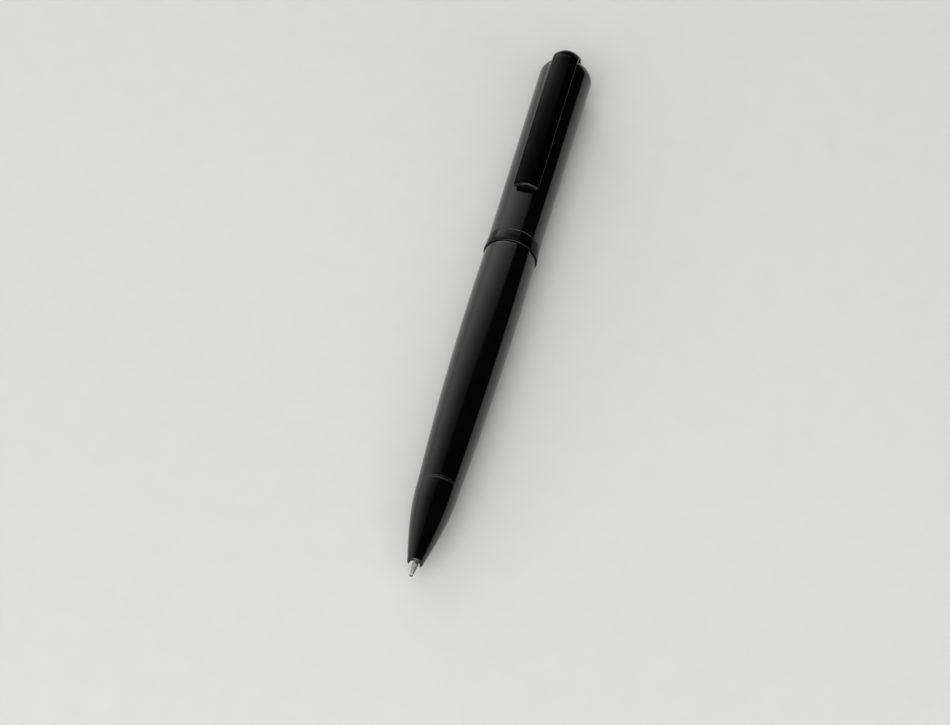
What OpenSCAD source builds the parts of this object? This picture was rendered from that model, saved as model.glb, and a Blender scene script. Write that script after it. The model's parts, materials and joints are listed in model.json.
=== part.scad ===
// Twist-action ballpoint pen, lying along X with its point towards -X and its clip up.
// Each piece is drawn about the pen's own axis: z runs from the ball to the cap end,
// and +x is the side that carries the clip. place() then lays it down.

/* [Outside lengths] */
// Length of the refill point that stands out of the nose when the pen is ready to write
tip_out = 3.4; // [2.6:0.1:4.6]
// Length of the nose cone that shows
nose_len = 18.6; // [16:0.1:23]
// Thickness of the trim ring between nose cone and lower barrel
trim_len = 0.5; // [0.3:0.1:1.2]
// Length of the lower barrel
barrel_len = 61.3; // [50:0.1:75]
// Length of the centre ring
ring_len = 3.2; // [2.4:0.1:5]
// Length of the upper barrel above the centre ring, to its flat end
cap_len = 50.65; // [42:0.05:62]

/* [Outside shape] */
// Wall of the nose cone at its open end
lip_wall = 0.4; // [0.2:0.02:0.6]
// Wall of the lower barrel where it meets the nose cone
barrel_wall = 0.53; // [0.4:0.01:0.8]
// How much wider, in radius, the lower barrel is at its widest than at the nose joint
belly_rise = 1.2; // [0.9:0.05:1.6]
// Distance from the nose joint to the widest place of the lower barrel
belly_at = 46; // [38:0.5:56]
// Wall of the upper barrel beside the centre ring
cap_wall = 0.85; // [0.7:0.05:1.1]
// How much wider, in radius, the upper barrel is at its rounded end
cap_flare = 0.15; // [0:0.05:0.4]
// How far the lower edge of the centre ring stands out from the upper barrel
ring_flare = 0.24; // [0.1:0.02:0.5]
// Radius of the rounded end of the upper barrel
cap_round = 3.4; // [2.4:0.1:4.2]
// Thickness of the upper barrel's end
cap_end_t = 3.2; // [2.4:0.1:4.5]
// Small bevel on the edges that show
edge_bevel = 0.15; // [0.05:0.05:0.25]

/* [Nose joint] */
// Depth that the nose cone's threaded neck reaches into the lower barrel
spigot_len = 6; // [4:0.1:9]
// Wall of that threaded neck
spigot_wall = 0.37; // [0.3:0.01:0.5]
// Wall of the threaded insert in the front of the lower barrel
insert_wall = 0.38; // [0.3:0.02:0.5]

/* [Clip] */
// Width of the clip
clip_w = 5.5; // [4:0.1:7]
// Thickness of the clip
clip_t = 1.1; // [0.8:0.02:1.34]
// Length of the clip's free arm below its bend
clip_len = 36.5; // [26:0.1:43]
// Gap between clip and upper barrel at the bend
clip_root_gap = 0.75; // [0.7:0.05:1.2]
// Radius of the arm's gentle bow along its length
clip_bow = 600; // [450:10:1200]
// Distance from the bend to the place where the arm stands furthest out
bow_at = 14; // [8:0.5:20]
// How much lower the clip's edges are than its middle on the outside
clip_crown = 1.1; // [0.4:0.05:1.2]
// How much lower they are on the inside, where the clip follows the round barrel
clip_hollow = 0.6; // [0.3:0.05:0.65]
// Outer radius of the clip's bend over the end of the pen
clip_bend = 4.2; // [3.6:0.1:5]
// Radius of the round pad under the free end
pad_r = 1.6; // [1:0.1:2.4]
// Gap between that pad and the upper barrel
pad_gap = 0.25; // [0.15:0.05:0.5]
// Thread diameter of the screw that holds the clip
screw_d = 1.8; // [1.4:0.1:2.2]
// Head diameter of that screw
screw_head_d = 3.2; // [2.6:0.1:4]

/* [Twist mechanism] */
// Travel of the refill from ready to put away
travel = 5.5; // [4.5:0.1:6.6]
// Turn of the upper barrel over that travel, in degrees
turn = 180; // [150:1:200]
// Diameter of the drive pin
pin_d = 1.4; // [1.1:0.02:1.7]
// Distance from the foot of the upper barrel to the drive pin
pin_from_foot = 16.8; // [15:0.1:20]
// Wall of the cam sleeve
cam_wall = 0.77; // [0.6:0.01:1]
// How much wider, in radius, the plunger is than the refill
plunger_step = 0.15; // [0.05:0.05:0.25]
// Length of the guide tube inside the lower barrel
guide_seat = 10; // [7:0.1:16]
// Thickness of the guide tube's collar
collar_len = 1.2; // [0.8:0.1:2]
// Section diameter of the friction O-ring
o_ring_d = 1; // [0.8:0.05:1]
// Thickness of the twist washer and the thrust washer
washer_t = 0.5; // [0.3:0.05:0.7]
// Thickness of the retaining ring
snap_t = 0.7; // [0.5:0.05:1]

/* [Refill] */
// Body diameter of the refill
refill_d = 5.9; // [5:0.02:7.2]
// Wall of the refill tube
refill_wall = 0.35; // [0.25:0.01:0.5]
// Wall of the refill's narrow neck around the writing point
neck_wall = 0.48; // [0.3:0.02:0.6]
// Diameter of the writing point where it leaves the nose
point_d = 2.24; // [1.9:0.02:2.7]
// Diameter of the writing ball
ball_d = 0.76; // [0.5:0.02:0.9]
// Length of the end plug that shows
plug_len = 6; // [4:0.1:9]
// Length of the ink column
ink_len = 52; // [30:1:60]
// Length of the grease follower behind the ink
follower_len = 3; // [2:0.1:5]
// Wire diameter of the return spring
wire_d = 0.4; // [0.3:0.02:0.5]
// Number of turns of the return spring
spring_turns = 8; // [5:1:10]

/* [Clearances] */
// Radial clearance of a sliding piece
slide_gap = 0.1; // [0.06:0.01:0.1]
// Radial clearance of a turning piece
turn_gap = 0.08; // [0.05:0.01:0.1]
// Radial clearance of a pressed, glued or screwed piece
fix_gap = 0.02; // [0.01:0.01:0.03]
// Gap between faces that turn past each other
face_gap = 0.15; // [0.1:0.01:0.3]
// Clearance of the ball in its socket
socket_gap = 0.02; // [0.015:0.005:0.03]

/* [Hidden] */
round_fn = 96;
wire_sides = 8;
wire_steps = 20;
slot_slices = 40;
curve_steps = 24;
eps = 0.01;
// How far a cut reaches past the surface that it opens
over = 1;

// Places along the axis, from the ball at 0
nose_z = tip_out;
trim_z = nose_z + nose_len;
joint_z = trim_z + trim_len;
barrel_end_z = joint_z + barrel_len;
ring_z = barrel_end_z + face_gap;
foot_z = ring_z + ring_len;
cap_end_z = foot_z + cap_len;
round_z = cap_end_z - cap_round;
cap_floor_z = cap_end_z - cap_end_t;
length = cap_end_z + clip_t;

// Radii from the refill outwards: nose cone, insert and lower barrel
refill_r = refill_d / 2;
point_r = point_d / 2;
nose_bore_r = point_r + slide_gap;
nose_end_r = nose_bore_r + lip_wall;
refill_hole_r = refill_r + slide_gap;
spigot_r = refill_hole_r + spigot_wall;
trim_in_r = spigot_r + fix_gap;
insert_in_r = spigot_r + turn_gap;
insert_r = insert_in_r + insert_wall;
barrel_bore_r = insert_r + fix_gap;
joint_r = barrel_bore_r + barrel_wall;
belly_r = joint_r + belly_rise;
belly_z = joint_z + belly_at;

// Radii from the refill outwards: plunger, guide tube, cam sleeve and upper barrel
plunger_r = refill_r + plunger_step;
guide_bore_r = plunger_r + slide_gap;
guide_r = barrel_bore_r - fix_gap;
cam_in_r = guide_r + turn_gap;
cam_r = cam_in_r + cam_wall;
cap_bore_r = cam_r + fix_gap;
cap_foot_r = cap_bore_r + cap_wall;
cap_top_r = cap_foot_r + cap_flare;
ring_r = cap_foot_r + ring_flare;
// Neck of the upper barrel inside the centre ring
cap_neck_r = (cap_bore_r + cap_foot_r) / 2;
cap_neck_z = ring_z + washer_t;
axis_h = max(ring_r, belly_r, cap_top_r);
// Angle of the sine curve that shapes the nose
ogive = 86;

// Refill
refill_in_r = refill_r - refill_wall;
neck_r = point_r + neck_wall;
ball_r = ball_d / 2;
pin_r = pin_d / 2;
pin_z = foot_z + pin_from_foot;
// Length of the plunger before and behind the drive pin
plunger_front = 6;
plunger_back = 3;
refill_end_z = pin_z - plunger_front;
plug_z = refill_end_z - plug_len;
plug_stub_len = plug_len;
// The point's straight shank and the neck that holds it
shank_z = nose_z + edge_bevel;
shank_len = 6;
neck_z = shank_z + shank_len;
neck_len = 6.5;
shoulder_z = neck_z + neck_len;
shoulder_len = 0.8;
shank_grip = 4;
// Lip of the ball socket: its height and radius as shares of the ball's radius, and its small flare
lip_height_share = 0.6;
lip_radius_share = 1.35;
lip_flare = 0.04;
lip_edge = 0.1;
lip_z = ball_r * lip_height_share;
lip_r = ball_r * lip_radius_share;
// Share of the standing length that the point's cone takes; the rest is straight
cone_share = 0.76;
cone_z = tip_out * cone_share;
ink_z = shoulder_z + 2 * shoulder_len;
follower_z = ink_z + ink_len;

// Return spring and the inside of the nose cone
spring_play = 0.18;
spring_in_r = neck_r + spring_play;
spring_r = spring_in_r + wire_d / 2;
spring_out_r = spring_in_r + wire_d;
spring_hole_r = spring_out_r + slide_gap;
spring_seat_z = neck_z - 2 * face_gap;
spring_len = shoulder_z - spring_seat_z;
refill_hole_z = shoulder_z - shoulder_len / 2;

// Twist mechanism
guide_z = barrel_end_z - guide_seat;
pin_reach = cam_r - slide_gap;
slot_half = pin_r + turn_gap;
collar_r = cap_bore_r - face_gap;
// The collar carries the cam sleeve, well before the drive pin
collar_before_pin = 9.5;
collar_z = pin_z - collar_before_pin;
// Sleeve beyond the slots, and guide tube beyond the retaining ring
cam_rim = 3;
guide_rim = 1.2;
cam_z = collar_z + collar_len + face_gap;
cam_top = pin_z + travel + slot_half + cam_rim;
thrust_z = cam_top + face_gap;
snap_z = thrust_z + washer_t;
guide_end_z = snap_z + snap_t + guide_rim;
snap_groove = 0.25;
snap_r = cam_r - face_gap;
// The O-ring just clears the bore that it rubs in
o_ring_play = 0.05;
o_ring_r = cap_bore_r - o_ring_play - o_ring_d / 2;
o_ring_z = (foot_z + collar_z) / 2;
washer_in_r = guide_r + turn_gap;
washer_out_r = cap_neck_r - face_gap;

// Clip, in the plane of x and z
clip_in_x = cap_top_r + clip_root_gap;
clip_out_x = clip_in_x + clip_t;
bend_x = clip_out_x - clip_bend;
bend_z = length - clip_bend;
arm_end_z = bend_z - clip_len;
// Middle of the arm's bow, and the angles from there to the bend and to the free end
bow_z = bend_z - bow_at;
bow_x = clip_out_x - sqrt(pow(clip_bow, 2) - pow(bow_at, 2));
bow_up = asin(bow_at / clip_bow);
bow_down = asin((clip_len - bow_at) / clip_bow);
bow_fn = 2400;
// Over the end of the pen the clip is flat inside, and this thick at its edges
flat_edge = 0.3;
// The tongue stands this far from the axis, and is narrower than the clip by a step on each side
tang_from_axis = 1.6;
tang_step = 0.75;
tang_x = -clip_t - tang_from_axis;
tang_w = clip_w - 2 * tang_step;
tang_len = 8.2;
tang_gap = 0.05;
// Floor of the anchor plug below the tongue
anchor_floor = 1.3;
anchor_z = cap_end_z - tang_len - anchor_floor;
anchor_r = cap_bore_r - fix_gap;
screw_r = screw_d / 2;
screw_head_len = 1.2;
// The screw stops short of the clip's outer face
screw_cover = 0.4;
screw_tip_z = length - screw_cover;
// Distance from the arm's end to the middle of its pad, in pad radii
pad_inset = 1.6;
pad_z = arm_end_z + pad_inset * pad_r;

// Half width of the nose cone at height z
function nose_r(z) =
    nose_end_r + (joint_r - nose_end_r) * sin(ogive * (z - nose_z) / nose_len) / sin(ogive);

// Half width of the lower barrel at height z
function barrel_r(z) =
    belly_r - (belly_r - joint_r) * pow((z - belly_z) / (belly_z - joint_z), 2);

// Distance of the clip arm's outer face from the axis at height z
function arm_x(z) = bow_x + sqrt(pow(clip_bow, 2) - pow(z - bow_z, 2));

// Outer edge of the clip's section, across it, for a crown of that height
function crown_line(crown) =
    [for (y = heights(-clip_w / 2, clip_w / 2)) [clip_t - crown * pow(2 * y / clip_w, 2), y]];

// Section of the clip with its inner face at distance r: crowned outside and hollow inside
function strap_section(r) = concat(
    [for (p = crown_line(clip_crown)) [r + p[0], p[1]]],
    [for (y = heights(clip_w / 2, -clip_w / 2)) [r - clip_hollow * pow(2 * y / clip_w, 2), y]]);

// Heights from a to b in even steps
function heights(a, b) = [for (i = [0 : curve_steps]) a + (b - a) * i / curve_steps];

// Radius of the upper barrel at height z, below its rounded end
function cap_r(z) = cap_foot_r + (cap_top_r - cap_foot_r) * (z - foot_z) / (round_z - foot_z);

// Half outline of the upper barrel: neck, long side and rounded end
function cap_outline() = concat(
    [[0, cap_neck_z], [cap_neck_r, cap_neck_z], [cap_neck_r, foot_z], [cap_foot_r - edge_bevel, foot_z]],
    [for (z = heights(foot_z + edge_bevel, round_z)) [cap_r(z), z]],
    [for (i = [1 : curve_steps]) let (a = 90 * i / curve_steps)
        [cap_top_r - cap_round + cap_round * cos(a), round_z + cap_round * sin(a)]],
    [[0, cap_end_z]]);

// Lays a piece drawn about the z axis down along X, clip side up
module place() {
    translate([-length / 2, 0, axis_h])
        rotate([0, 90, 0])
            rotate([0, 0, 180])
                children();
}

// A turned solid from its half outline
module turned(outline) {
    rotate_extrude($fn = round_fn)
        polygon(outline);
}

// A straight rod from z = a to z = b
module rod(r, a, b) {
    translate([0, 0, a])
        cylinder(r = r, h = b - a, $fn = round_fn);
}

// A straight sleeve from z = a to z = b
module sleeve(r_in, r_out, a, b) {
    difference() {
        rod(r_out, a, b);
        rod(r_in, a - eps, b + eps);
    }
}

// A rod across the axis along y, at height z
module cross_rod(r, half_len, z) {
    translate([0, half_len, z])
        rotate([90, 0, 0])
            cylinder(r = r, h = 2 * half_len, $fn = round_fn);
}

// Ogive nose with a step for the point, the spring and the refill body, and a threaded neck
module nose_cone() {
    top_r = joint_r - edge_bevel;
    color("#1b1c1e") place()
        difference() {
            union() {
                turned(concat(
                    [[0, nose_z], [nose_end_r - edge_bevel / 2, nose_z]],
                    [for (z = heights(nose_z + edge_bevel, trim_z - edge_bevel)) [nose_r(z), z]],
                    [[top_r, trim_z], [0, trim_z]]));
                rod(spigot_r, trim_z - eps, joint_z + spigot_len);
            }
            rod(nose_bore_r, nose_z - eps, spring_seat_z + eps);
            rod(spring_hole_r, spring_seat_z, refill_hole_z + eps);
            rod(refill_hole_r, refill_hole_z, joint_z + spigot_len + eps);
        }
}

// Thin ring clamped between nose cone and lower barrel
module nose_trim_ring() {
    color("#55585c") place()
        sleeve(trim_in_r, joint_r - edge_bevel / 2, trim_z, joint_z);
}

// Brass sleeve pressed into the barrel, threaded for the nose cone
module threaded_insert() {
    color("#b9924a") place()
        sleeve(insert_in_r, insert_r, joint_z + edge_bevel, joint_z + spigot_len + edge_bevel);
}

// Long barrel with a gentle belly and a straight bore
module lower_barrel() {
    top_r = barrel_r(barrel_end_z);
    color("#1b1c1e") place()
        difference() {
            turned(concat(
                [[0, joint_z], [joint_r - edge_bevel, joint_z]],
                [for (z = heights(joint_z + edge_bevel, barrel_end_z - edge_bevel)) [barrel_r(z), z]],
                [[top_r - edge_bevel, barrel_end_z], [0, barrel_end_z]]));
            rod(barrel_bore_r, joint_z - eps, barrel_end_z + eps);
        }
}

// Tube fixed in the lower barrel: its two straight slots keep the drive pin from turning
module guide_tube() {
    color("#b9924a") place()
        difference() {
            union() {
                rod(guide_r, guide_z, guide_end_z);
                rod(collar_r, collar_z, collar_z + collar_len);
            }
            rod(guide_bore_r, guide_z - eps, guide_end_z + eps);
            for (z = [pin_z, pin_z + travel])
                cross_rod(slot_half, guide_r + over, z);
            translate([-slot_half, -guide_r - over, pin_z])
                cube([2 * slot_half, 2 * (guide_r + over), travel]);
            rotate_extrude($fn = round_fn)
                translate([o_ring_r, o_ring_z])
                    circle(r = o_ring_d / 2 + fix_gap, $fn = round_fn);
            sleeve(guide_r - snap_groove, guide_r + over, snap_z - eps, snap_z + snap_t + fix_gap);
        }
}

// Slippery washer on the end of the lower barrel
module twist_washer() {
    color("#d8d8d2") place()
        sleeve(washer_in_r, washer_out_r, barrel_end_z, barrel_end_z + washer_t);
}

// Rubber ring that gives the twist its drag
module friction_o_ring() {
    color("#101010") place()
        rotate_extrude($fn = round_fn)
            translate([o_ring_r, o_ring_z])
                circle(r = o_ring_d / 2, $fn = round_fn);
}

// Washer between the cam sleeve and the retaining ring
module thrust_washer() {
    color("#d8d8d2") place()
        sleeve(washer_in_r, snap_r, thrust_z, thrust_z + washer_t);
}

// Open spring ring in the guide tube's groove
module retaining_ring() {
    opening = guide_r;
    color("#8d9196") place()
        difference() {
            sleeve(guide_r - snap_groove + fix_gap, snap_r, snap_z, snap_z + snap_t);
            translate([-snap_r - over, -opening / 2, snap_z - over])
                cube([snap_r + over, opening, snap_t + 2 * over]);
        }
}

// Points of the spring wire: a helix from the seat in the nose to the refill's shoulder
function wire_angle(i) = 360 * i / wire_steps;
function wire_z(i) =
    spring_seat_z + wire_d / 2 + (spring_len - wire_d) * i / (spring_turns * wire_steps);
function wire_ring(i) = [for (k = [0 : wire_sides - 1])
    let (a = 360 * k / wire_sides, r = spring_r + wire_d / 2 * cos(a))
        [r * cos(wire_angle(i)), r * sin(wire_angle(i)), wire_z(i) + wire_d / 2 * sin(a)]];

// Compression spring round the neck of the refill
module return_spring() {
    last = spring_turns * wire_steps;
    points = [for (i = [0 : last]) each wire_ring(i)];
    side_faces = [for (i = [0 : last - 1], k = [0 : wire_sides - 1])
        let (a = i * wire_sides, n = (k + 1) % wire_sides)
            each [[a + k, a + wire_sides + k, a + wire_sides + n], [a + k, a + wire_sides + n, a + n]]];
    start_face = [for (k = [0 : wire_sides - 1]) k];
    end_face = [for (k = [0 : wire_sides - 1]) last * wire_sides + wire_sides - 1 - k];
    color("#9aa0a6") place()
        polyhedron(points, concat([start_face], side_faces, [end_face]));
}

// Flared ring pressed on the neck of the upper barrel, tapering from its lower edge
module center_ring() {
    bore_r = cap_neck_r + fix_gap;
    color("#232427") place()
        turned([[bore_r, ring_z], [ring_r - edge_bevel, ring_z], [ring_r, ring_z + edge_bevel],
            [cap_foot_r, foot_z - edge_bevel], [cap_foot_r - edge_bevel, foot_z], [bore_r, foot_z]]);
}

// Upper barrel with a rounded end, a slot for the clip's tang and a hole for its screw
module upper_barrel() {
    color("#1b1c1e") place()
        difference() {
            turned(cap_outline());
            rod(cap_bore_r, cap_neck_z - eps, cap_floor_z);
            rod(screw_r + fix_gap, cap_floor_z - eps, length);
            tang(tang_gap, cap_end_z + over);
        }
}

// Sleeve pressed into the upper barrel, with two helical slots that drive the pin
module cam_sleeve() {
    rise_per_degree = travel / turn;
    slot_len = travel + 2 * slot_half;
    slot_turn = slot_len / rise_per_degree;
    half_angle = slot_half / rise_per_degree / cos(atan(360 * rise_per_degree / (2 * PI * cam_in_r)));
    // The wedge's straight sides reach well past both walls of the sleeve
    near_r = cam_in_r - over / 2;
    far_r = (cam_r + over) / cos(half_angle);
    color("#e4e2dc") place()
        difference() {
            sleeve(cam_in_r, cam_r, cam_z, cam_top);
            for (side = [90, 270])
                translate([0, 0, pin_z - slot_half])
                    rotate([0, 0, side + slot_half / rise_per_degree])
                        linear_extrude(height = slot_len, twist = slot_turn, slices = slot_slices)
                            polygon([for (p = [[near_r, -1], [far_r, -1], [far_r, 1], [near_r, 1]])
                                [p[0] * cos(half_angle), p[1] * p[0] * sin(half_angle)]]);
        }
}

// The clip's tongue, which passes through the end of the upper barrel
module tang(gap, top) {
    translate([tang_x - gap, -tang_w / 2 - gap, cap_end_z - tang_len])
        cube([clip_t + 2 * gap, tang_w + 2 * gap, top - cap_end_z + tang_len]);
}

// Part of the clip fixed to the pen: tongue, flat over the end and bend down to the arm
module clip_root() {
    color("#17181a") place()
        difference() {
            union() {
                tang(0, cap_end_z + flat_edge);
                translate([tang_x, 0, cap_end_z])
                    rotate([90, 0, 90])
                        linear_extrude(height = bend_x - tang_x + eps)
                            polygon(concat([[-clip_w / 2, 0]],
                                [for (p = crown_line(clip_t - flat_edge)) [p[1], p[0]]],
                                [[clip_w / 2, 0]]));
                translate([bend_x, 0, bend_z])
                    rotate([90, 0, 0])
                        rotate_extrude(angle = 90, $fn = round_fn)
                            polygon(strap_section(clip_bend - clip_t));
            }
            rod(screw_r + fix_gap, cap_end_z - eps, screw_tip_z + fix_gap);
        }
}

// Free arm of the clip, gently bowed, with a round pad under its end
module clip_arm() {
    pad_x = cap_r(pad_z) + pad_gap + pad_r;
    color("#17181a") place()
        union() {
            translate([bow_x, 0, bow_z])
                rotate([90, 0, 0])
                    rotate([0, 0, -bow_down])
                        rotate_extrude(angle = bow_down + bow_up, $fn = bow_fn)
                            polygon(strap_section(clip_bow - clip_t));
            intersection() {
                translate([pad_x, 0, pad_z])
                    sphere(r = pad_r, $fn = round_fn);
                translate([0, -clip_w / 2, arm_end_z])
                    cube([arm_x(pad_z) - clip_t / 2, clip_w, clip_len]);
            }
        }
}

// Plug in the end of the upper barrel that holds the tongue and seats the screw
module clip_anchor() {
    color("#2f3236") place()
        difference() {
            rod(anchor_r, anchor_z, cap_floor_z);
            rod(screw_r + fix_gap, anchor_z - eps, cap_floor_z + eps);
            tang(tang_gap, cap_end_z);
        }
}

// Screw that pulls the clip down from inside the upper barrel
module clip_screw() {
    slot_w = 0.5;
    slot_depth = 0.6;
    head_z = anchor_z - screw_head_len;
    color("#8d9196") place()
        difference() {
            union() {
                rod(screw_head_d / 2, head_z, anchor_z);
                rod(screw_r, anchor_z - eps, screw_tip_z);
            }
            translate([-screw_head_d, -slot_w / 2, head_z - eps])
                cube([2 * screw_head_d, slot_w, slot_depth + eps]);
        }
}

// Plunger that pushes the refill, drilled across for the drive pin
module plunger() {
    color("#b9924a") place()
        difference() {
            rod(plunger_r, refill_end_z, pin_z + plunger_back);
            cross_rod(pin_r + fix_gap, plunger_r + over, pin_z);
        }
}

// Pin through plunger and guide tube, whose ends run in the cam sleeve
module drive_pin() {
    color("#8d9196") place()
        cross_rod(pin_r, pin_reach, pin_z);
}

// Metal tube of the refill, drawn down to a neck at the front
module refill_tube() {
    color("#a7a9ab") place()
        difference() {
            turned([[0, neck_z], [neck_r - edge_bevel, neck_z], [neck_r, neck_z + edge_bevel],
                [neck_r, shoulder_z], [refill_r - shoulder_len, shoulder_z],
                [refill_r, shoulder_z + shoulder_len], [refill_r, plug_z], [0, plug_z]]);
            rod(point_r + fix_gap, neck_z - eps, neck_z + shank_grip + eps);
            rod(point_r / 2, neck_z, shoulder_z + shoulder_len);
            rod(refill_in_r, ink_z - shoulder_len, plug_z + eps);
        }
}

// Plastic plug in the back of the refill, with cross notches and a breathing hole
module refill_plug() {
    notch_w = 1;
    notch_len = 2;
    color("#1f1f21") place()
        difference() {
            union() {
                rod(refill_r, plug_z, refill_end_z);
                rod(refill_in_r - fix_gap, plug_z - plug_stub_len, plug_z + eps);
            }
            rod(point_r / 2, plug_z - plug_stub_len - eps, refill_end_z + eps);
            for (a = [45, 135])
                rotate([0, 0, a])
                    translate([-refill_r - over, -notch_w / 2, refill_end_z - notch_len])
                        cube([2 * (refill_r + over), notch_w, notch_len + eps]);
        }
}

// Bright cone with the ball socket at its tip and an ink channel behind
module refill_point() {
    channel_r = ball_r * 0.5;
    color("#d9dbde") place()
        difference() {
            turned([[0, lip_z], [lip_r, lip_z], [lip_r + lip_flare, lip_z + lip_edge], [point_r, cone_z],
                [point_r, neck_z + shank_grip], [0, neck_z + shank_grip]]);
            translate([0, 0, ball_r])
                sphere(r = ball_r + socket_gap, $fn = round_fn);
            rod(channel_r, ball_r, neck_z + shank_grip + eps);
        }
}

// Ball that rolls the ink on to the paper
module writing_ball() {
    color("#8f9398") place()
        translate([0, 0, ball_r])
            sphere(r = ball_r, $fn = round_fn);
}

// Ink in the refill tube
module ink_column() {
    color("#16224a") place()
        rod(refill_in_r - fix_gap, ink_z, follower_z);
}

// Grease that follows the ink and keeps it from drying
module ink_follower() {
    color("#c9b98a") place()
        rod(refill_in_r - fix_gap, follower_z, follower_z + follower_len);
}

nose_cone();
nose_trim_ring();
threaded_insert();
lower_barrel();
guide_tube();
twist_washer();
friction_o_ring();
thrust_washer();
retaining_ring();
return_spring();
center_ring();
upper_barrel();
cam_sleeve();
clip_root();
clip_arm();
clip_anchor();
clip_screw();
plunger();
drive_pin();
refill_tube();
refill_plug();
refill_point();
writing_ball();
ink_column();
ink_follower();
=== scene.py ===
import json
import math

import bmesh
import bpy
from mathutils import Matrix, Vector


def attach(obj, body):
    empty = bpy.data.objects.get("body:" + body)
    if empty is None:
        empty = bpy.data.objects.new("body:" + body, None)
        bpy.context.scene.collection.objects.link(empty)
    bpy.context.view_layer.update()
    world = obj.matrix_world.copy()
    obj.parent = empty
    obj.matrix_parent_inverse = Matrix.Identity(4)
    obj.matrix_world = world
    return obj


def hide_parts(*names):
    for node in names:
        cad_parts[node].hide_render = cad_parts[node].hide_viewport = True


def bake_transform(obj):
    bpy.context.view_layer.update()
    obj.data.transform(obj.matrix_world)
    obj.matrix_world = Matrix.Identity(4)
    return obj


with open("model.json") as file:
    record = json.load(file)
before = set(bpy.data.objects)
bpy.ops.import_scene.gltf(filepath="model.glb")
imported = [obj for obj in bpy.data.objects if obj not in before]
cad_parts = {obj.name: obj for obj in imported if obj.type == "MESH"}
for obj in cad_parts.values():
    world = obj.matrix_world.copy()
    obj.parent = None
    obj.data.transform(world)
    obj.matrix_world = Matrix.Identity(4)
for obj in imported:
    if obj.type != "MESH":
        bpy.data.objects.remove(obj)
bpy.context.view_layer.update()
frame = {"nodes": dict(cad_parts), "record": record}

# Sizes in millimetres: S along the axis from the ball, R radius, X height over the axis towards the clip
MM = 0.001
LENGTH = 138.9
AXIS_H = 5.84

# How finely pieces are cut, how sharp an edge stays hard, and the room that a rounded corner needs
SEGMENTS = 192
CORNER_ARC = 8
HARD_EDGE = 40
CORNER_ROOM = 0.3
TINY = 1e-6
QUARTER = math.pi / 2

# Nose cone with its stepped bore
NOSE_S = 3.4
NOSE_LEN = 18.6
NOSE_END_R = 1.62
NOSE_BORE_R = 1.22
NOSE_LIP_IN = 0.05
NOSE_LIP_OUT = 0.1
NOSE_TOP_EDGE = 0.06
NOSE_TOP_ROOM = 0.25
NOSE_ROWS = 64
OGIVE = math.radians(86)
SPRING_SEAT_S = 9.25
SPRING_HOLE_R = 2.28
REFILL_HOLE_S = 15.65
REFILL_HOLE_R = 3.05
SPIGOT_R = 3.42
SPIGOT_END_S = 28.5
SPIGOT_EDGE = 0.15

# Trim ring
TRIM_S = 22.0
TRIM_R = 4.4
TRIM_GAP = 0.02
TRIM_LOW_EDGE = 0.08
TRIM_HIGH_EDGE = 0.05

# Lower barrel
JOINT_S = 22.5
JOINT_R = 4.43
BELLY_S = 68.5
BELLY_R = 5.63
BARREL_BORE_R = 3.9
BARREL_END_S = 83.8
BARREL_LOW_EDGE = 0.05
BARREL_HIGH_EDGE = 0.04
BARREL_TOP_ROOM = 0.4
BARREL_ROWS = 96

# Centre ring; its corner stands out a little before it is rounded
RING_S = 83.95
RING_R = 5.84
RING_BORE_R = 5.195
RING_CORNER = 0.01
RING_LOW_EDGE = 0.26
RING_HIGH_EDGE = 0.12

# Upper barrel
FOOT_S = 87.15
CAP_FOOT_R = 5.6
CAP_FOOT_EDGE = 0.18
CAP_TOP_R = 5.75
CAP_NECK_R = 5.175
CAP_NECK_S = 84.45
CAP_NECK_EDGE = 0.1
CAP_BORE_R = 4.75
CAP_FLOOR_S = 134.6
CAP_END_S = 137.8
CAP_ROUND = 3.4
CAP_SHOULDER_S = CAP_END_S - CAP_ROUND
CAP_ROWS = 64
DOME_ROWS = 40

# Clip: tongue in the cap, fold, flat over the end, bend and bowed arm
CLIP_W = 5.5
CLIP_T = 1.1
CLIP_LEN = 36.5
CLIP_BEND = 4.2
CLIP_OUT_X = 7.6
CLIP_CROWN = 1.1
CLIP_HOLLOW = 0.6
TANG_X = -2.15
TANG_W = 4.0
TANG_LEN = 8.2
TANG_CROWN = 0.05
TANG_END_S = CAP_END_S - TANG_LEN
TANG_ROWS = 6
FOLD_R = 0.15
FOLD_ROWS = 10
FLAT_CROWN = 0.8
FLAT_ROWS = 10
BEND_X = 3.4
BEND_S = 134.7
BEND_ROWS = 36
CROWN_RATE = 2.5
BOW_R = 600
BOW_AT = 14
BOW_S = BEND_S - BOW_AT
BOW_X = CLIP_OUT_X - math.sqrt(BOW_R ** 2 - BOW_AT ** 2)
ARM_LEAD = 0.3
ARM_START_S = BEND_S - ARM_LEAD
ARM_END_S = BEND_S - CLIP_LEN
ARM_ROWS = 72
END_ROUND = 0.9
END_DROP = 0.9
END_STEPS = 12
NEARLY_ONE = 0.999
CORNER_ROUND = 0.7
FACE_SHARE = 0.9
FACE_COLUMNS = 20
EDGE_ROUND = 0.18
EDGE_ARC = 6
STRAP_HARD_EDGE = 50

# Round pad under the clip's free end, and the share of the strap that it reaches into
PAD_S = 100.76
PAD_R = 1.6
PAD_X = 7.494
PAD_SUNK = 0.6
PAD_SIDES = 64
PAD_ROWS = 20

# Refill point and ball
POINT_R = 1.12
LIP_S = 0.24
LIP_R = 0.47
LIP_EDGE = 0.03
RIM_S = 0.35
RIM_R = 0.51
RIM_EDGE = 0.04
CONE_S = 2.584
CONE_EDGE = 0.4
SHANK_END_S = 13.55
SHANK_EDGE = 0.05
INK_HOLE_R = 0.19
SOCKET_GAP = 0.02
SOCKET_FROM = math.radians(150)
SOCKET_TO = math.radians(72)
SOCKET_ROWS = 10
BALL_R = 0.38
BALL_ROWS = 40
BALL_SEGMENTS = 80

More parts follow.
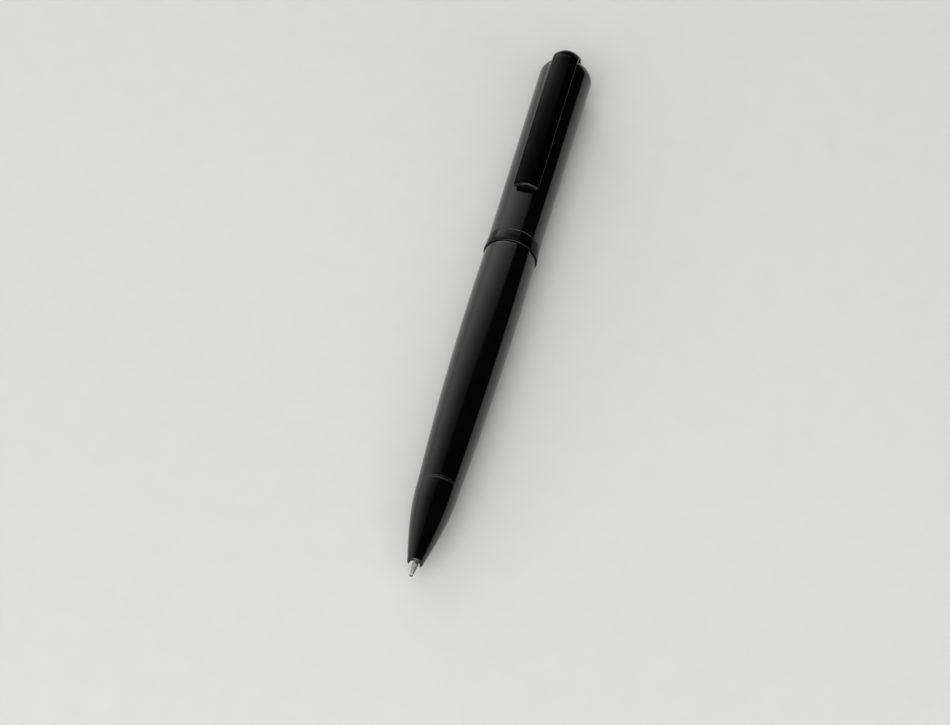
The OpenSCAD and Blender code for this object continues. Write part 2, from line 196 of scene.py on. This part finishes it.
# Return spring
SPRING_R = 1.98
SPRING_TURNS = 8
SHOULDER_S = 16.05
WIRE_R = 0.2
WIRE_SIDES = 14
WIRE_HARD_EDGE = 60
END_PITCH = 2.1
TURN_STEPS = 40


def place(s, across, out):
    """Row-frame point at s along the axis, across it, and out towards the clip side."""
    return Vector(((s - LENGTH / 2) * MM, across * MM, (AXIS_H + out) * MM))


def nose_r(s):
    return NOSE_END_R + (JOINT_R - NOSE_END_R) * math.sin(OGIVE * (s - NOSE_S) / NOSE_LEN) / math.sin(OGIVE)


def barrel_r(s):
    return BELLY_R - (BELLY_R - JOINT_R) * ((s - BELLY_S) / (BELLY_S - JOINT_S)) ** 2


def cap_r(s):
    return CAP_FOOT_R + (CAP_TOP_R - CAP_FOOT_R) * (s - FOOT_S) / (CAP_SHOULDER_S - FOOT_S)


def arm_x(s):
    return BOW_X + math.sqrt(BOW_R ** 2 - (s - BOW_S) ** 2)


def steps(a, b, count):
    return [a + (b - a) * i / count for i in range(count + 1)]


def eased(t):
    """Smooth step from 0 to 1."""
    t = min(max(t, 0.0), 1.0)
    return t * t * (3 - 2 * t)


def softened(corners, arc=CORNER_ARC, closed=True):
    """Outline through (s, r, radius) corners, each one rounded with its own radius."""
    outline = []
    last = len(corners) - 1
    for i, (s, r, radius) in enumerate(corners):
        if radius == 0 or (not closed and i in (0, last)):
            outline.append((s, r))
            continue
        corner = Vector((s, r))
        to_a = (Vector(corners[i - 1][:2]) - corner).normalized()
        to_b = (Vector(corners[(i + 1) % len(corners)][:2]) - corner).normalized()
        half = to_a.angle(to_b) / 2
        middle = corner + (to_a + to_b).normalized() * radius / math.sin(half)
        begin = corner + to_a * radius / math.tan(half) - middle
        turn = begin.angle_signed(corner + to_b * radius / math.tan(half) - middle)
        for k in range(arc + 1):
            spoke = Matrix.Rotation(-turn * k / arc, 2) @ begin
            outline.append(tuple(middle + spoke))
    return outline


def linked(name, data):
    """New object in the scene."""
    obj = bpy.data.objects.new(name, data)
    bpy.context.scene.collection.objects.link(obj)
    return obj


def mesh_piece(name, verts, faces, hard_edge=HARD_EDGE):
    """New object with its faces turned outwards and smooth, except at edges sharper than that angle."""
    mesh = bpy.data.meshes.new(name)
    mesh.from_pydata(verts, [], faces)
    bm = bmesh.new()
    bm.from_mesh(mesh)
    bmesh.ops.recalc_face_normals(bm, faces=bm.faces)
    bm.to_mesh(mesh)
    bm.free()
    mesh.shade_smooth()
    mesh.set_sharp_from_angle(angle=math.radians(hard_edge))
    return linked(name, mesh)


def lathe(name, outline, closed=True, segments=SEGMENTS):
    """Turned piece about the pen's axis from (s, r) points; an open outline starts and ends on the axis."""
    verts, rings = [], []
    for s, r in outline:
        if r < TINY:
            rings.append([len(verts)])
            verts.append(place(s, 0, 0))
            continue
        rings.append(list(range(len(verts), len(verts) + segments)))
        for k in range(segments):
            a = 2 * math.pi * k / segments
            verts.append(place(s, r * math.sin(a), r * math.cos(a)))
    faces = []
    pairs = list(zip(rings, rings[1:]))
    if closed:
        pairs.append((rings[-1], rings[0]))
    for a, b in pairs:
        for k in range(segments):
            n = (k + 1) % segments
            if len(a) == 1:
                faces.append((a[0], b[k], b[n]))
            elif len(b) == 1:
                faces.append((a[k], b[0], a[n]))
            else:
                faces.append((a[k], b[k], b[n], a[n]))
    return mesh_piece(name, verts, faces)


def loft(name, sections, hard_edge):
    """Closed skin over rows of points that all have the same length, with flat ends."""
    size = len(sections[0])
    verts = [p for row in sections for p in row]
    faces = []
    for i in range(len(sections) - 1):
        a, b = i * size, (i + 1) * size
        for k in range(size):
            n = (k + 1) % size
            faces.append((a + k, b + k, b + n, a + n))
    faces.append(tuple(range(size)))
    faces.append(tuple(range(len(verts) - size, len(verts))))
    return mesh_piece(name, verts, faces, hard_edge)


# Nose cone
nose_front = [(NOSE_S, NOSE_BORE_R, NOSE_LIP_IN), (NOSE_S, NOSE_END_R, NOSE_LIP_OUT)]
ogive_points = [(s, nose_r(s), 0) for s in steps(NOSE_S + CORNER_ROOM, TRIM_S - NOSE_TOP_ROOM, NOSE_ROWS)]
nose_back = [
    (TRIM_S, JOINT_R, NOSE_TOP_EDGE), (TRIM_S, SPIGOT_R, 0),
    (SPIGOT_END_S, SPIGOT_R, SPIGOT_EDGE), (SPIGOT_END_S, REFILL_HOLE_R, 0),
    (REFILL_HOLE_S, REFILL_HOLE_R, 0), (REFILL_HOLE_S, SPRING_HOLE_R, 0),
    (SPRING_SEAT_S, SPRING_HOLE_R, 0), (SPRING_SEAT_S, NOSE_BORE_R, 0)]
nose = lathe("nose_shell", softened(nose_front + ogive_points + nose_back))

# Trim ring
trim_low_s = TRIM_S + TRIM_GAP
trim_high_s = JOINT_S - TRIM_GAP
trim_bore_r = SPIGOT_R + TRIM_GAP
trim = lathe("trim_band", softened([
    (trim_low_s, trim_bore_r, 0), (trim_low_s, TRIM_R, TRIM_LOW_EDGE),
    (trim_high_s, TRIM_R, TRIM_HIGH_EDGE), (trim_high_s, trim_bore_r, 0)]))

# Lower barrel
belly_places = steps(JOINT_S + CORNER_ROOM, BARREL_END_S - BARREL_TOP_ROOM, BARREL_ROWS)
belly_points = [(s, barrel_r(s), 0) for s in belly_places]
barrel = lathe("lower_shell", softened(
    [(JOINT_S, BARREL_BORE_R, 0), (JOINT_S, JOINT_R, BARREL_LOW_EDGE)] + belly_points
    + [(BARREL_END_S, barrel_r(BARREL_END_S), BARREL_HIGH_EDGE), (BARREL_END_S, BARREL_BORE_R, 0)]))

# Centre ring
ring = lathe("twist_ring", softened([
    (RING_S, RING_BORE_R, 0), (RING_S, RING_R + RING_CORNER, RING_LOW_EDGE),
    (FOOT_S, CAP_FOOT_R, RING_HIGH_EDGE), (FOOT_S, RING_BORE_R, 0)]))

# Upper barrel
cap_inside = [
    (CAP_FLOOR_S, 0, 0), (CAP_FLOOR_S, CAP_BORE_R, 0),
    (CAP_NECK_S, CAP_BORE_R, 0), (CAP_NECK_S, CAP_NECK_R, CAP_NECK_EDGE),
    (FOOT_S, CAP_NECK_R, 0), (FOOT_S, CAP_FOOT_R, CAP_FOOT_EDGE)]
side_points = [(s, cap_r(s), 0) for s in steps(FOOT_S + CORNER_ROOM, CAP_SHOULDER_S, CAP_ROWS)]
dome_r = CAP_TOP_R - CAP_ROUND
dome_points = [(CAP_SHOULDER_S + CAP_ROUND * math.sin(a), dome_r + CAP_ROUND * math.cos(a), 0)
               for a in steps(0, QUARTER, DOME_ROWS)]
cap = lathe("upper_shell", softened(
    cap_inside + side_points + dome_points[1:] + [(CAP_END_S, 0, 0)], closed=False), closed=False)


# Clip strap: a crowned section carried along tongue, fold, flat, bend and bowed arm
def strap_section(s, x, normal, width, thickness, outer_sag, inner_sag):
    """Row of points across the strap at a place on its inner face, with its outward direction."""
    half = width / 2
    face = half * FACE_SHARE
    rim = thickness - outer_sag
    outer = [(y, thickness - outer_sag * (y / half) ** 2, 0) for y in steps(-face, face, FACE_COLUMNS)]
    inner = [(y, -inner_sag * (y / half) ** 2, 0) for y in steps(face, -face, FACE_COLUMNS)]
    row = softened(
        [(-half, rim, EDGE_ROUND)] + outer + [(half, rim, EDGE_ROUND), (half, -inner_sag, EDGE_ROUND / 2)]
        + inner + [(-half, -inner_sag, EDGE_ROUND / 2)], arc=EDGE_ARC)
    return [place(s + normal[0] * h, y, x + normal[1] * h) for y, h in row]


sections = []
tang_in_x = TANG_X + CLIP_T / 2
fold_s = CAP_END_S - FOLD_R
fold_x = tang_in_x + FOLD_R
for s in steps(TANG_END_S, fold_s, TANG_ROWS):
    sections.append(strap_section(s, tang_in_x, (0, -1), TANG_W, CLIP_T, TANG_CROWN, 0))
for a in steps(0, QUARTER, FOLD_ROWS)[1:]:
    grow = a / QUARTER
    sections.append(strap_section(
        fold_s + FOLD_R * math.sin(a), fold_x - FOLD_R * math.cos(a), (math.sin(a), -math.cos(a)),
        TANG_W + (CLIP_W - TANG_W) * grow, CLIP_T, TANG_CROWN + (FLAT_CROWN - TANG_CROWN) * grow, 0))
for x in steps(fold_x, BEND_X, FLAT_ROWS)[1:]:
    sections.append(strap_section(CAP_END_S, x, (1, 0), CLIP_W, CLIP_T, FLAT_CROWN, 0))
bend_in = CLIP_BEND - CLIP_T
for a in steps(QUARTER, math.asin(BOW_AT / BOW_R), BEND_ROWS)[1:]:
    grow = eased(CROWN_RATE * (1 - a / QUARTER))
    sections.append(strap_section(
        BEND_S + bend_in * math.sin(a), BEND_X + bend_in * math.cos(a), (math.sin(a), math.cos(a)),
        CLIP_W, CLIP_T, FLAT_CROWN + (CLIP_CROWN - FLAT_CROWN) * grow, CLIP_HOLLOW * grow))
arm_places = steps(ARM_START_S, ARM_END_S + END_ROUND, ARM_ROWS)
arm_places += [ARM_END_S + END_ROUND * (1 - math.sin(a)) for a in steps(0, QUARTER, END_STEPS)[1:]]
for s in arm_places:
    normal = Vector((s - BOW_S, arm_x(s) - BOW_X)).normalized()
    left = s - ARM_END_S
    rounding = min(max(0.0, 1 - left / END_ROUND), NEARLY_ONE)
    thickness = CLIP_T - END_DROP * (1 - math.sqrt(1 - rounding ** 2))
    corner = max(0.0, CORNER_ROUND - left)
    width = CLIP_W - 2 * (CORNER_ROUND - math.sqrt(max(0.0, CORNER_ROUND ** 2 - corner ** 2)))
    share = (width / CLIP_W) ** 2
    sections.append(strap_section(
        s - normal[0] * CLIP_T, arm_x(s) - normal[1] * CLIP_T, normal, width, thickness,
        CLIP_CROWN * share, CLIP_HOLLOW * share))
strap = loft("clip_strap", sections, STRAP_HARD_EDGE)

# Round pad under the clip's free end
pad_verts, pad_faces = [], []
pad_top = arm_x(PAD_S) - PAD_SUNK * CLIP_T
pad_reach = math.acos((PAD_X - pad_top) / PAD_R)
for i in range(1, PAD_ROWS + 1):
    a = pad_reach * i / PAD_ROWS
    r = PAD_R * math.sin(a)
    for k in range(PAD_SIDES):
        t = 2 * math.pi * k / PAD_SIDES
        pad_verts.append(place(PAD_S + r * math.cos(t), r * math.sin(t), PAD_X - PAD_R * math.cos(a)))
pole = len(pad_verts)
pad_verts.append(place(PAD_S, 0, PAD_X - PAD_R))
for k in range(PAD_SIDES):
    n = (k + 1) % PAD_SIDES
    pad_faces.append((pole, k, n))
    for i in range(PAD_ROWS - 1):
        a, b = i * PAD_SIDES, (i + 1) * PAD_SIDES
        pad_faces.append((a + k, b + k, b + n, a + n))
pad_faces.append(tuple(range(pole - PAD_SIDES, pole)))
pad = mesh_piece("clip_pad", pad_verts, pad_faces)

# Refill point with its ball socket, and the ball
socket_r = BALL_R + SOCKET_GAP
socket = [(BALL_R - socket_r * math.cos(a), socket_r * math.sin(a), 0)
          for a in steps(SOCKET_FROM, SOCKET_TO, SOCKET_ROWS)]
point = lathe("point_cone", softened(
    [(LIP_S, LIP_R, LIP_EDGE), (RIM_S, RIM_R, RIM_EDGE), (CONE_S, POINT_R, CONE_EDGE),
     (SHANK_END_S, POINT_R, SHANK_EDGE), (SHANK_END_S, INK_HOLE_R, 0)] + socket))
ball_points = [(BALL_R - BALL_R * math.cos(a), BALL_R * math.sin(a)) for a in steps(0, math.pi, BALL_ROWS)]
ball = lathe("point_ball", ball_points, closed=False, segments=BALL_SEGMENTS)

# Return spring with closed end turns
wire_rows = []
wire_steps = SPRING_TURNS * TURN_STEPS
closed_share = 1.0 / SPRING_TURNS
low_s = SPRING_SEAT_S + WIRE_R
high_s = SHOULDER_S - WIRE_R
end_rise = END_PITCH * WIRE_R
for i in range(wire_steps + 1):
    t = i / wire_steps
    if t < closed_share:
        s = low_s + end_rise * t / closed_share
    elif t > 1 - closed_share:
        s = high_s - end_rise * (1 - t) / closed_share
    else:
        s = low_s + end_rise + (high_s - low_s - 2 * end_rise) * (t - closed_share) / (1 - 2 * closed_share)
    a = 2 * math.pi * SPRING_TURNS * t
    row = []
    for k in range(WIRE_SIDES):
        b = 2 * math.pi * k / WIRE_SIDES
        r = SPRING_R + WIRE_R * math.cos(b)
        row.append(place(s + WIRE_R * math.sin(b), r * math.sin(a), r * math.cos(a)))
    wire_rows.append(row)
spring = loft("spring_wire", wire_rows, WIRE_HARD_EDGE)

# Noise of the finishes: its scale and detail, and the parts of its range that roughness and tint run over
BROAD_SCALE = 180
BROAD_DETAIL = 3
FINE_SCALE = 2500
FINE_DETAIL = 4
ROUGH_FROM = 0.25
ROUGH_TO = 0.75
TINT_FROM = 0.3
TINT_TO = 0.7
EVEN = (1, 1, 1)
TURNED = (6, 0.25, 0.25)
DRAWN = (0.08, 1, 1)


def noise_at(tree, scale, detail, stretch):
    """Noise in the piece's own coordinates, stretched along the axes."""
    coords = tree.nodes.new("ShaderNodeTexCoord")
    mapping = tree.nodes.new("ShaderNodeMapping")
    mapping.inputs["Scale"].default_value = stretch
    noise = tree.nodes.new("ShaderNodeTexNoise")
    noise.inputs["Scale"].default_value = scale
    noise.inputs["Detail"].default_value = detail
    tree.links.new(coords.outputs["Object"], mapping.inputs["Vector"])
    tree.links.new(mapping.outputs["Vector"], noise.inputs["Vector"])
    return noise.outputs["Fac"]


def spread(tree, value, low, high):
    """Maps the middle half of a noise value to the range low to high."""
    node = tree.nodes.new("ShaderNodeMapRange")
    node.inputs["From Min"].default_value = ROUGH_FROM
    node.inputs["From Max"].default_value = ROUGH_TO
    node.inputs["To Min"].default_value = low
    node.inputs["To Max"].default_value = high
    tree.links.new(value, node.inputs["Value"])
    return node.outputs["Result"]


def tinted(tree, value, dark, light):
    """Colour that runs from dark to light with a noise value."""
    node = tree.nodes.new("ShaderNodeValToRGB")
    first, second = node.color_ramp.elements
    first.position = TINT_FROM
    first.color = (*dark, 1)
    second.position = TINT_TO
    second.color = (*light, 1)
    tree.links.new(value, node.inputs["Fac"])
    return node.outputs["Color"]


def raised(tree, value, strength, depth):
    """Normal of a surface that a noise value lifts by up to a depth."""
    node = tree.nodes.new("ShaderNodeBump")
    node.inputs["Strength"].default_value = strength
    node.inputs["Distance"].default_value = depth
    tree.links.new(value, node.inputs["Height"])
    return node.outputs["Normal"]


def surface(name, dark, light, rough, metallic=0.0, grain=FINE_SCALE, stretch=EVEN, bump=0.05, depth=0.00002,
            shine=0.5):
    """Finish with colour mottling, uneven gloss and a fine surface texture."""
    material = bpy.data.materials.new(name)
    material.use_nodes = True
    tree = material.node_tree
    shader = tree.nodes["Principled BSDF"]
    broad = noise_at(tree, BROAD_SCALE, BROAD_DETAIL, stretch)
    fine = noise_at(tree, grain, FINE_DETAIL, stretch)
    shader.inputs["Metallic"].default_value = metallic
    shader.inputs["Specular IOR Level"].default_value = shine
    tree.links.new(tinted(tree, broad, dark, light), shader.inputs["Base Color"])
    tree.links.new(spread(tree, fine, *rough), shader.inputs["Roughness"])
    tree.links.new(raised(tree, fine, bump, depth), shader.inputs["Normal"])
    return material


# Finishes: dark and light tint, range of roughness, and what differs from a plain surface
looks = {
    "black_lacquer": (
        (0.0008, 0.0008, 0.0009), (0.0016, 0.0016, 0.0018), (0.08, 0.14), dict(bump=0.015)),
    "ring_lacquer": (
        (0.001, 0.001, 0.0011), (0.0018, 0.0018, 0.002), (0.05, 0.09), dict(bump=0.01, shine=0.06)),
    "edge_lacquer": (
        (0.0008, 0.0008, 0.0009), (0.0016, 0.0016, 0.0018), (0.1, 0.16), dict(bump=0.01, shine=0.22)),
    "clip_lacquer": (
        (0.0006, 0.0006, 0.0007), (0.0012, 0.0012, 0.0014), (0.12, 0.17), dict(bump=0.03, shine=0.036)),
    "dark_chrome": (
        (0.058, 0.058, 0.06), (0.072, 0.072, 0.075), (0.08, 0.14),
        dict(metallic=1.0, bump=0.01, stretch=TURNED)),
    "bright_point": (
        (0.78, 0.78, 0.77), (0.86, 0.86, 0.85), (0.22, 0.32), dict(metallic=1.0, stretch=TURNED)),
    "ball_metal": (
        (0.12, 0.125, 0.135), (0.18, 0.185, 0.195), (0.1, 0.2), dict(metallic=1.0, grain=9000)),
    "brass": (
        (0.62, 0.43, 0.17), (0.75, 0.55, 0.25), (0.22, 0.38), dict(metallic=1.0, stretch=TURNED)),
    "refill_metal": (
        (0.55, 0.55, 0.53), (0.68, 0.68, 0.66), (0.25, 0.4), dict(metallic=1.0, stretch=DRAWN)),
    "spring_steel": (
        (0.45, 0.46, 0.48), (0.58, 0.59, 0.61), (0.2, 0.35), dict(metallic=1.0, stretch=DRAWN)),
    "white_plastic": (
        (0.74, 0.73, 0.69), (0.82, 0.81, 0.77), (0.4, 0.55), dict(bump=0.1)),
    "dark_plastic": (
        (0.035, 0.035, 0.04), (0.055, 0.055, 0.06), (0.4, 0.55), dict(bump=0.12)),
    "rubber": (
        (0.014, 0.014, 0.014), (0.026, 0.026, 0.026), (0.55, 0.75), dict(bump=0.15)),
    "ink": (
        (0.008, 0.011, 0.06), (0.012, 0.018, 0.1), (0.08, 0.16), dict(bump=0.02)),
    "grease": (
        (0.52, 0.43, 0.22), (0.66, 0.56, 0.33), (0.12, 0.22), dict(bump=0.04)),
}
finishes = {}
for name, (dark, light, rough, rest) in looks.items():
    finishes[name] = surface(name, dark, light, rough, **rest)

node_slots = {sub["node"]: sub["material_slot"] for sub in frame["record"]["subparts"]}
for node, obj in frame["nodes"].items():
    obj.data.materials.clear()
    obj.data.materials.append(finishes[node_slots[node]])

# Which body each piece moves with, and which CAD node it stands for
riders = [
    (nose, "lower_body", "nose_cone"),
    (trim, "lower_body", "nose_trim_ring"),
    (barrel, "lower_body", "lower_barrel"),
    (ring, "upper_body", "center_ring"),
    (cap, "upper_body", "upper_barrel"),
    (point, "refill", "refill_point"),
    (ball, "ball", "writing_ball"),
]
for piece, body, node in riders:
    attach(piece, body)
    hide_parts(node)
    piece.data.materials.append(finishes[node_slots[node]])
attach(pad, "clip")
pad.data.materials.append(finishes["clip_lacquer"])
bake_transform(strap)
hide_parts("clip_root", "clip_arm")
strap.data.materials.append(finishes["clip_lacquer"])
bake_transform(spring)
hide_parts("return_spring")
spring.data.materials.append(finishes["spring_steel"])


# Rims of the centre ring and of the strap, rubbed to a higher gloss than their faces
def polish(piece, chosen):
    """Gives the chosen faces the second finish of a piece, the one for edges."""
    piece.data.materials.append(finishes["edge_lacquer"])
    for index in chosen:
        piece.data.polygons[index].material_index = 1


low_rim = range(1, CORNER_ARC + 1)
high_rim = range(CORNER_ARC + 2, 2 * CORNER_ARC + 2)
polish(ring, [row * SEGMENTS + k for row in [*low_rim, *high_rim] for k in range(SEGMENTS)])
STRAP_END_ROWS = 8
strap_size = len(sections[0])
strap_rows = len(sections) - 1
right_edge = EDGE_ARC + FACE_COLUMNS + 2
edge_columns = [*range(EDGE_ARC), *range(right_edge, right_edge + EDGE_ARC)]
end_columns = range(right_edge + EDGE_ARC)
for_edges = [i * strap_size + k for i in range(strap_rows - STRAP_END_ROWS) for k in edge_columns]
for_end = [i * strap_size + k for i in range(strap_rows - STRAP_END_ROWS, strap_rows) for k in end_columns]
polish(strap, for_edges + for_end)

# Floor; the sizes of the studio are in metres
FLOOR_HALF = 2.5
floor_mesh = bpy.data.meshes.new("floor")
floor_corners = [(-FLOOR_HALF, -FLOOR_HALF, 0), (FLOOR_HALF, -FLOOR_HALF, 0), (FLOOR_HALF, FLOOR_HALF, 0),
                 (-FLOOR_HALF, FLOOR_HALF, 0)]
floor_mesh.from_pydata(floor_corners, [], [(0, 1, 2, 3)])
floor_mesh.materials.append(surface(
    "floor_paper", (0.615, 0.613, 0.605), (0.625, 0.623, 0.615), (0.85, 0.95), grain=900, bump=0.02,
    depth=0.00003, shine=0.1))
floor = linked("floor", floor_mesh)


def glowing(name):
    """Material that only glows, and its shader."""
    material = bpy.data.materials.new(name)
    material.use_nodes = True
    tree = material.node_tree
    tree.nodes.clear()
    shader = tree.nodes.new("ShaderNodeEmission")
    output = tree.nodes.new("ShaderNodeOutputMaterial")
    tree.links.new(shader.outputs["Emission"], output.inputs["Surface"])
    return material, shader


# Pale backdrop around the floor for low views; it lights nothing and nothing mirrors it
WALL_R = 1.75
WALL_H = 1.5
WALL_SIDES = 96
WALL_GLOW = 0.5
wall_verts, wall_faces = [], []
for k in range(WALL_SIDES):
    a = 2 * math.pi * k / WALL_SIDES
    n = (k + 1) % WALL_SIDES
    wall_verts.append((WALL_R * math.cos(a), WALL_R * math.sin(a), 0))
    wall_verts.append((WALL_R * math.cos(a), WALL_R * math.sin(a), WALL_H))
    wall_faces.append((2 * k, 2 * n, 2 * n + 1, 2 * k + 1))
wall = mesh_piece("backdrop", wall_verts, wall_faces)
wall_paper, wall_shader = glowing("backdrop_paper")
wall_shader.inputs["Strength"].default_value = WALL_GLOW
wall.data.materials.append(wall_paper)
wall.visible_diffuse = False
wall.visible_glossy = False
wall.visible_transmission = False
wall.visible_shadow = False


def standing(side, upward, facing, spot):
    """Matrix for an object at a spot, with its own axes along three directions."""
    rows = [(side[i], upward[i], facing[i], spot[i]) for i in range(3)]
    return Matrix((*rows, (0, 0, 0, 1)))


# Camera at the photograph's angle, by the pen's tilt, its turn about its axis and its lean in the picture
TILT = math.radians(36)
TURN = math.radians(11.5)
LEAN = math.radians(17.3)
DISTANCE = 0.94
SENSOR = 36
LENS = 171.7
NEAREST = 0.01
AIM_S = 60.8
AIM_LEFT = 0.0018
AIM_DOWN = 0.00425
toward = Vector((-math.sin(TILT), -math.cos(TILT) * math.sin(TURN), math.cos(TILT) * math.cos(TURN)))
across = Vector((0, -math.cos(TURN), -math.sin(TURN)))
along = toward.cross(across)
right = across * math.cos(LEAN) + along * math.sin(LEAN)
up = along * math.cos(LEAN) - across * math.sin(LEAN)
aim = place(AIM_S, 0, 0) - right * AIM_LEFT - up * AIM_DOWN
camera_data = bpy.data.cameras.new("camera")
camera_data.sensor_width = SENSOR
camera_data.lens = LENS
camera_data.clip_start = NEAREST
camera = linked("camera", camera_data)
camera.matrix_world = standing(right, up, toward, aim + toward * DISTANCE)
bpy.context.scene.camera = camera

# Soft light from a tent on the left, in metres and in degrees about the pen; the right side stays dark
TENT_R = 1.0
TENT_FROM = -0.3
TENT_TO = 1.8
TENT_FOOT = -104
TENT_COLUMNS = 168
TENT_ROWS = 48

# Its upper edge climbs along the pen, and glows the least
CLIMB_FROM = 0.1
CLIMB_RUN = 0.69
CLIMB_MOST = 1.05
EDGE_LOWEST = -17
EDGE_CLIMB = 27
EDGE_GLOW = 0.1
EDGE_GAIN = 0.2

# Its side glows more towards the floor, and a little less close to it
SIDE_GLOW = 0.9
SIDE_RUN = 90
FOOT_DIP = 0.32
FOOT_FROM = -76
FOOT_RUN = 26

# Past the cap's end it is brighter, with a dark seam for the centre ring and a bright band for the clip's top
FAR_GAIN = 2.8
FAR_FROM = 0.85
FAR_RUN = 0.12
SEAM_DIP = 0.85
SEAM_AT = 1.0
SEAM_HALF = 0.12
SEAM_FROM = -70
SEAM_RUN = 60
BAND_GAIN = 1.1
BAND_AT = 0.925
BAND_HALF = 0.05
BAND_FROM = -50
BAND_RUN = 25


def climb(x):
    """Share of the tent's climb at a place along the pen."""
    return min(max((x - CLIMB_FROM) / CLIMB_RUN, 0.0), CLIMB_MOST)


def tent_edge(x):
    """Angle of the tent's upper edge about the pen, which climbs towards the cap's end."""
    return EDGE_LOWEST + EDGE_CLIMB * climb(x) ** 3


def tent_glow(x, angle):
    """Radiance of the tent at a place along the pen and an angle about it."""
    dim = EDGE_GLOW + EDGE_GAIN * climb(x) ** 6
    side = dim + (SIDE_GLOW - dim / 2) * eased((tent_edge(x) - angle) / SIDE_RUN)
    foot = 1 - FOOT_DIP * eased((FOOT_FROM - angle) / FOOT_RUN)
    far = 1 + FAR_GAIN * eased((x - FAR_FROM) / FAR_RUN)
    seam = 1 - SEAM_DIP * eased(1 - abs(x - SEAM_AT) / SEAM_HALF) * eased((angle - SEAM_FROM) / SEAM_RUN)
    band = 1 + BAND_GAIN * eased(1 - abs(x - BAND_AT) / BAND_HALF) * eased((angle - BAND_FROM) / BAND_RUN)
    return side * foot * far * seam * band


face_on = Vector((0, -math.sin(TURN), math.cos(TURN)))
tent_verts, tent_values, tent_faces = [], [], []
for x in steps(TENT_FROM, TENT_TO, TENT_COLUMNS):
    for angle in steps(tent_edge(x), TENT_FOOT, TENT_ROWS):
        turned = math.radians(angle)
        spoke = face_on * math.cos(turned) + across * math.sin(turned)
        tent_verts.append(spoke * TENT_R + Vector((x, 0, 0)))
        tent_values.append(tent_glow(x, angle))
for i in range(TENT_COLUMNS):
    for k in range(TENT_ROWS):
        a = i * (TENT_ROWS + 1) + k
        tent_faces.append((a, a + 1, a + TENT_ROWS + 2, a + TENT_ROWS + 1))
tent = mesh_piece("light_tent", tent_verts, tent_faces)
tent.data.attributes.new("glow", "FLOAT", "POINT").data.foreach_set("value", tent_values)
tent_cloth, tent_shader = glowing("tent_cloth")
tent_tree = tent_cloth.node_tree
glow_value = tent_tree.nodes.new("ShaderNodeAttribute")
glow_value.attribute_name = "glow"
tent_tree.links.new(glow_value.outputs["Fac"], tent_shader.inputs["Strength"])
tent.data.materials.append(tent_cloth)
tent.visible_camera = False
tent.visible_shadow = False


def panel(name, direction, reach, side, length, width, radiance):
    """Rectangular soft light out along a direction from the pen, with one side along a given line."""
    direction = Vector(direction)
    facing = direction.normalized()
    side = Vector(side)
    side = (side - facing * side.dot(facing)).normalized()
    data = bpy.data.lights.new(name, "AREA")
    data.shape = "RECTANGLE"
    data.size = length
    data.size_y = width
    data.energy = radiance * math.pi * length * width
    light = linked(name, data)
    light.matrix_world = standing(side, facing.cross(side), facing, direction * reach)
    light.visible_camera = False


# Broad panels behind the camera, which the barrels don't mirror
panel("key_panel", (-0.62, -0.52, 0.58), reach=1.5, side=(0.52, -0.62, 0),
      length=1.7, width=1.7, radiance=1.8)
panel("fill_panel", (-0.41, 0.1, 0.91), reach=1.7, side=(0, 1, 0),
      length=1.2, width=1.3, radiance=2.4)
panel("front_panel", (-0.82, 0.1, 0.56), reach=1.6, side=(0, 1, 0),
      length=1.4, width=0.9, radiance=2.2)
panel("left_panel", (-0.65, 0.6, 0.46), reach=1.5, side=(0.6, 0.65, 0),
      length=1.4, width=1.4, radiance=1.2)

# Nearly dark surroundings
SURROUNDINGS = (0.006, 0.0061, 0.0064, 1)
world = bpy.data.worlds.new("studio")
world.use_nodes = True
world.node_tree.nodes["Background"].inputs["Color"].default_value = SURROUNDINGS
bpy.context.scene.world = world
bpy.context.scene.view_settings.view_transform = "Standard"

bpy.context.view_layer.update()
